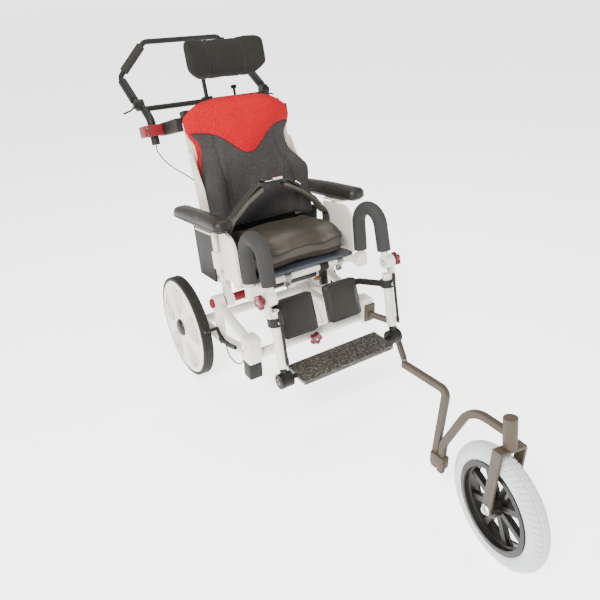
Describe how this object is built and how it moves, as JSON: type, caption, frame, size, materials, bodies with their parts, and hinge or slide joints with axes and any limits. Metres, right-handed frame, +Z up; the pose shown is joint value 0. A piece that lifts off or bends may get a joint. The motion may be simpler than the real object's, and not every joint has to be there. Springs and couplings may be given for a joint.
{
  "type": "pediatric wheelchair",
  "caption": "Child's tilting wheelchair with contoured back, headrest, leg rests, armrests, lap belt, push bar, disc rear wheels and a detachable front wheel on a cranked arm.",
  "frame": {"origin": "on the ground under the middle of the chair's bounding box", "axes": "+Z up, the chair faces -Y, +X is the user's left"},
  "size_m": [0.508, 1.4508, 0.9345],
  "materials": {
    "white_paint": "gloss",
    "white_plastic": "satin",
    "cream_plastic": "satin",
    "black_paint": "satin",
    "black_plastic": "satin",
    "grey_board": "matte",
    "grey_metal": "satin",
    "red_plastic": "satin",
    "red_metal": "satin",
    "dark_arm_paint": "satin",
    "black_rubber": "matte",
    "grey_rubber": "matte",
    "dark_mesh_cloth": "matte",
    "black_cover": "matte",
    "red_cover": "matte",
    "grip_foam": "matte",
    "belt_webbing": "matte",
    "footplate_tread": "matte"
  },
  "bodies": {
    "base": {"frame_side_left": "white_paint", "frame_side_right": "white_paint", "axle_tube": "white_paint", "pivot_tube": "red_metal", "front_cross_tube": "white_paint", "castor_receiver_right": "black_paint", "front_arm": "dark_arm_paint", "brake_cable": "black_plastic"},
    "rear_wheel_left": {"rear_tyre_left": "black_rubber", "rear_disc_left": "white_plastic"},
    "rear_wheel_right": {"rear_tyre_right": "black_rubber", "rear_disc_right": "white_plastic"},
    "brake_left": {"brake_lever_left": "black_paint"},
    "brake_right": {"brake_lever_right": "black_paint"},
    "centre_clamp_knob": {"centre_knob": "red_plastic"},
    "front_wheel_arm": {"wheel_arm": "dark_arm_paint"},
    "fork": {"front_fork": "dark_arm_paint"},
    "front_wheel": {"front_rim": "black_plastic", "front_tyre": "grey_rubber"},
    "seat": {"seat_frame": "white_paint", "seat_pan": "grey_board", "seat_cushion": "dark_mesh_cloth", "side_guard_left": "white_plastic", "side_guard_right": "white_plastic", "lap_belt": "belt_webbing", "belt_buckle": "black_plastic", "leg_hanger_left": "white_paint", "leg_hanger_right": "white_paint", "hanger_pad_left": "black_cover", "hanger_pad_right": "black_cover"},
    "armrest_left": {"armrest_post_left": "grey_metal", "armrest_pad_left": "black_cover"},
    "armrest_right": {"armrest_post_right": "grey_metal", "armrest_pad_right": "black_cover"},
    "back": {"back_frame": "black_paint", "back_shell": "cream_plastic", "back_cushion_lower": "dark_mesh_cloth", "back_cushion_upper": "red_cover", "push_base": "black_paint", "push_clamp_left": "red_metal", "push_clamp_right": "red_metal", "tilt_cable": "black_plastic"},
    "push_handle": {"push_bar": "black_paint", "push_grip_left": "grip_foam", "push_grip_right": "grip_foam"},
    "push_release_left": {"push_lever_left": "black_paint"},
    "push_release_right": {"push_lever_right": "black_paint"},
    "headrest_stem": {"head_stem": "black_paint"},
    "headrest_pad": {"head_pad": "black_cover"},
    "crossbar_clamp_knob": {"cross_bar_knob": "black_plastic"},
    "legrest": {"leg_tube_left": "white_paint", "leg_tube_right": "white_paint"},
    "legrest_clamp_left": {"legrest_knob_left": "red_plastic"},
    "legrest_clamp_right": {"legrest_knob_right": "red_plastic"},
    "footrest": {"footrest_frame": "black_paint"},
    "foot_plate": {"footplate": "footplate_tread"},
    "calf_rest_left": {"calf_bracket_left": "black_paint", "calf_pad_left": "black_cover"},
    "calf_rest_right": {"calf_bracket_right": "black_paint", "calf_pad_right": "black_cover"}
  },
  "joints": [
    {"name": "rear_wheel_left_spin", "type": "hinge", "parent": "base", "child": "rear_wheel_left", "pos_m": [0.225, 0.38067, 0.15166], "axis": [1, 0, 0], "continuous": true},
    {"name": "brake_left_turn", "type": "hinge", "parent": "base", "child": "brake_left", "pos_m": [0.2033, 0.19267, 0.18716], "axis": [-1, 0, 0], "range_deg": [0, 55]},
    {"name": "rear_wheel_right_spin", "type": "hinge", "parent": "base", "child": "rear_wheel_right", "pos_m": [-0.225, 0.38067, 0.15166], "axis": [1, 0, 0], "continuous": true},
    {"name": "brake_right_turn", "type": "hinge", "parent": "base", "child": "brake_right", "pos_m": [-0.2033, 0.19267, 0.18716], "axis": [-1, 0, 0], "range_deg": [0, 55]},
    {"name": "centre_knob_turn", "type": "hinge", "parent": "base", "child": "centre_clamp_knob", "pos_m": [0, 0.03437, 0.20267], "axis": [0, -1, 0], "continuous": true},
    {"name": "front_arm_height", "type": "slide", "parent": "base", "child": "front_wheel_arm", "axis": [0, 0, 1], "range_m": [-0.012, 0]},
    {"name": "fork_swivel", "type": "hinge", "parent": "front_wheel_arm", "child": "fork", "pos_m": [0, -0.60565, 0.28347], "axis": [0, 0.1392, 0.9903], "continuous": true},
    {"name": "front_wheel_spin", "type": "hinge", "parent": "fork", "child": "front_wheel", "pos_m": [0.00552, -0.59886, 0.12774], "axis": [0.9816, -0.189, 0.0266], "continuous": true},
    {"name": "seat_tilt", "type": "hinge", "parent": "base", "child": "seat", "pos_m": [0, 0.23067, 0.28216], "axis": [-1, 0, 0], "range_deg": [0, 25]},
    {"name": "armrest_left_height", "type": "slide", "parent": "seat", "child": "armrest_left", "axis": [0, 0.1219, 0.9925], "range_m": [0, 0.04]},
    {"name": "armrest_right_height", "type": "slide", "parent": "seat", "child": "armrest_right", "axis": [0, 0.1219, 0.9925], "range_m": [0, 0.04]},
    {"name": "back_recline", "type": "hinge", "parent": "seat", "child": "back", "pos_m": [0, 0.31069, 0.32674], "axis": [-1, 0, 0], "range_deg": [0, 25]},
    {"name": "push_handle_angle", "type": "hinge", "parent": "back", "child": "push_handle", "pos_m": [0, 0.58594, 0.76106], "axis": [-1, 0, 0], "range_deg": [-30, 30]},
    {"name": "push_release_left_turn", "type": "hinge", "parent": "push_handle", "child": "push_release_left", "pos_m": [0.21045, 0.58594, 0.76106], "axis": [-1, 0, 0], "range_deg": [0, 25], "stiffness_Nm_per_rad": 0.25},
    {"name": "push_release_right_turn", "type": "hinge", "parent": "push_handle", "child": "push_release_right", "pos_m": [-0.21045, 0.58594, 0.76106], "axis": [-1, 0, 0], "range_deg": [0, 25], "stiffness_Nm_per_rad": 0.25},
    {"name": "headrest_height", "type": "slide", "parent": "back", "child": "headrest_stem", "axis": [0, 0.2419, 0.9703], "range_m": [-0.02, 0.04]},
    {"name": "headrest_angle", "type": "hinge", "parent": "headrest_stem", "child": "headrest_pad", "pos_m": [0, 0.48333, 0.86909], "axis": [-1, 0, 0], "range_deg": [-20, 20]},
    {"name": "crossbar_knob_turn", "type": "hinge", "parent": "back", "child": "crossbar_clamp_knob", "pos_m": [0.093, 0.57167, 0.75938], "axis": [0, 0.2419, 0.9703], "continuous": true},
    {"name": "legrest_lift", "type": "hinge", "parent": "seat", "child": "legrest", "pos_m": [0, -0.0526, 0.40812], "axis": [-1, 0, 0], "range_deg": [0, 60]},
    {"name": "legrest_knob_left_turn", "type": "hinge", "parent": "legrest", "child": "legrest_clamp_left", "pos_m": [0.1892, -0.0526, 0.40812], "axis": [1, 0, 0], "continuous": true},
    {"name": "calf_rest_left_angle", "type": "hinge", "parent": "legrest", "child": "calf_rest_left", "pos_m": [0.17, -0.06376, 0.35325], "axis": [0, 0.1994, 0.9799], "range_deg": [-15, 15]},
    {"name": "legrest_knob_right_turn", "type": "hinge", "parent": "legrest", "child": "legrest_clamp_right", "pos_m": [-0.1892, -0.0526, 0.40812], "axis": [1, 0, 0], "continuous": true},
    {"name": "calf_rest_right_angle", "type": "hinge", "parent": "legrest", "child": "calf_rest_right", "pos_m": [-0.17, -0.06376, 0.35325], "axis": [0, 0.1994, 0.9799], "range_deg": [-15, 15]},
    {"name": "footrest_height", "type": "slide", "parent": "legrest", "child": "footrest", "axis": [0, -0.1994, -0.9799], "range_m": [-0.01, 0.01]},
    {"name": "footplate_flip", "type": "hinge", "parent": "footrest", "child": "foot_plate", "pos_m": [0, -0.09386, 0.20528], "axis": [-1, 0, 0], "range_deg": [0, 40]}
  ]
}
